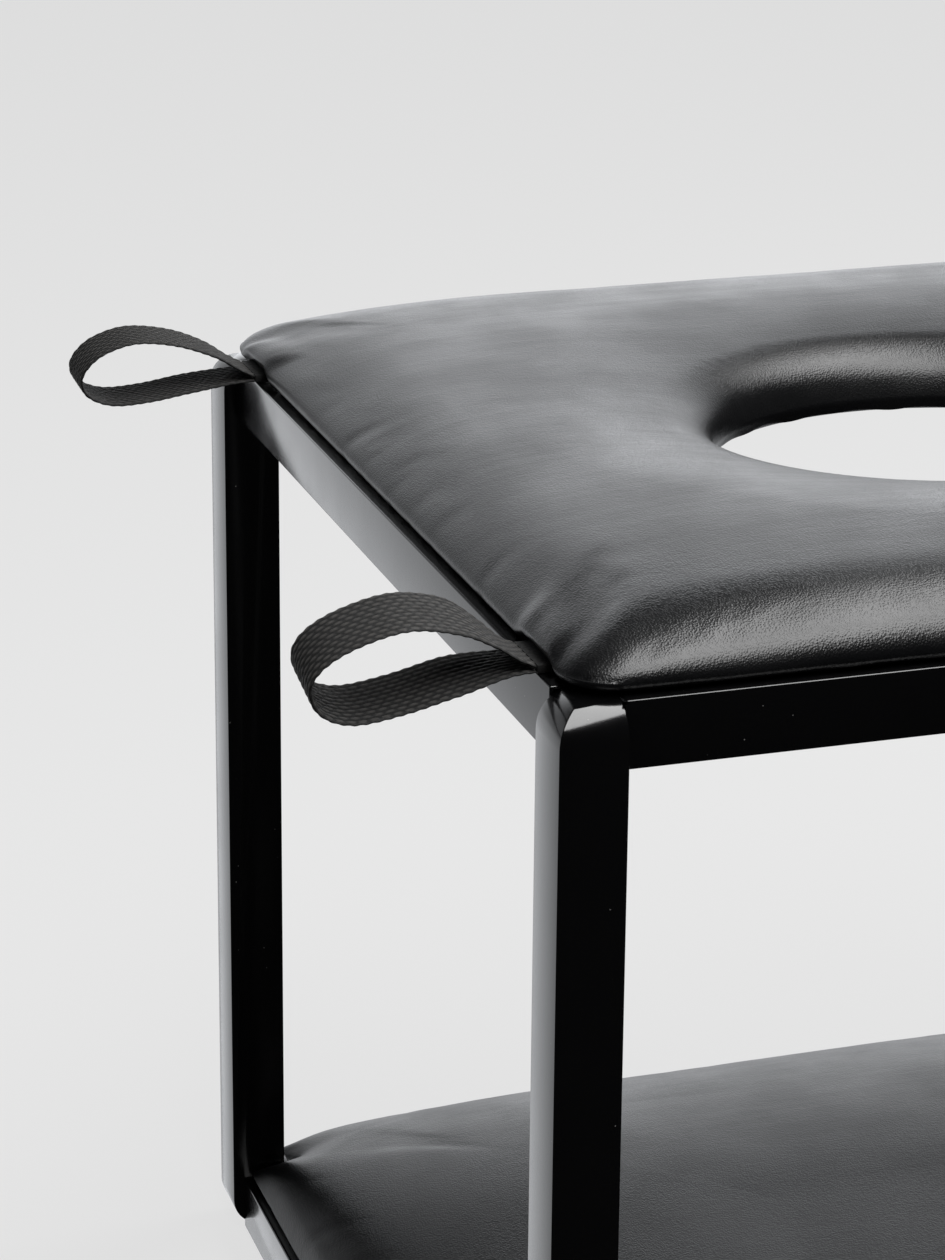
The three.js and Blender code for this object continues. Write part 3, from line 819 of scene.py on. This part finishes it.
def stage_floor():
    half = FLOOR_HALF
    mesh = bpy.data.meshes.new("floor")
    corners = [(-half, -half, 0), (half, -half, 0), (half, half, 0), (-half, half, 0)]
    mesh.from_pydata(corners, [], [(0, 1, 2, 3)])
    floor = bpy.data.objects.new("floor", mesh)
    bpy.context.scene.collection.objects.link(floor)
    made = bpy.data.materials.new("studio_floor")
    made.use_nodes = True
    graph = Graph(made.node_tree)
    matt = graph.add("ShaderNodeBsdfDiffuse", {"Color": (*[FLOOR_GREY] * 3, 1)})
    glow = graph.add("ShaderNodeEmission", {"Color": (1, 1, 1, 1), "Strength": FLOOR_GLOW})
    both = graph.add("ShaderNodeAddShader", {0: matt.outputs[0], 1: glow.outputs[0]})
    graph.add("ShaderNodeOutputMaterial", {"Surface": both.outputs[0]})
    mesh.materials.append(made)
    floor.visible_glossy = False


def studio_world():
    """A lit wall behind the object, brighter to the right and dark overhead. The camera sees a
    plain pale backdrop in its place."""
    world = bpy.data.worlds.new("studio")
    bpy.context.scene.world = world
    world.use_nodes = True
    graph = Graph(world.node_tree)
    toward = graph.add("ShaderNodeTexCoord").outputs["Generated"]
    parts = graph.add("ShaderNodeSeparateXYZ", {0: toward}).outputs
    behind = graph.remap(parts["Y"], 0.3, 0.85, 0.0, 1.0)
    not_high = graph.remap(parts["Z"], 0.62, 0.28, 0.0, 1.0)
    to_right = graph.remap(parts["X"], -0.45, 0.35, 0.5, 2.3)
    wall = graph.math("MULTIPLY", not_high, to_right)
    below = graph.remap(parts["Z"], 0.03, -0.1, 0.0, 1.0)
    wall = graph.add("ShaderNodeMix", {0: below, 2: wall, 3: 0.95}).outputs[0]
    glow = graph.math("ADD", graph.math("MULTIPLY", behind, wall), DIM_ROOM)
    seen = graph.add("ShaderNodeLightPath").outputs["Is Camera Ray"]
    lit = graph.add("ShaderNodeBackground", {"Color": (0.95, 0.97, 1, 1), "Strength": glow})
    backdrop = graph.add(
        "ShaderNodeBackground", {"Color": (*[BACKDROP_GREY] * 3, 1), "Strength": 1.0}
    )
    mix = graph.add("ShaderNodeMixShader", {0: seen, 1: lit.outputs[0], 2: backdrop.outputs[0]})
    graph.add("ShaderNodeOutputWorld", {"Surface": mix.outputs[0]})


def softbox(name, place, target, size, power):
    """A rectangular area light, aimed at a target."""
    data = bpy.data.lights.new(name, "AREA")
    data.shape = "RECTANGLE"
    data.size, data.size_y = size
    data.energy = power
    light = bpy.data.objects.new(name, data)
    light.location = place
    light.rotation_euler = (Vector(target) - Vector(place)).to_track_quat("-Z", "Y").to_euler()
    bpy.context.scene.collection.objects.link(light)


stage_floor()
studio_world()
softbox("overhead", (0.5, -0.52, 2.3), (0, -0.15, 0.4), (3.2, 1.15), 90)

bpy.context.scene.view_settings.view_transform = "Standard"
bpy.context.scene.view_settings.look = "None"
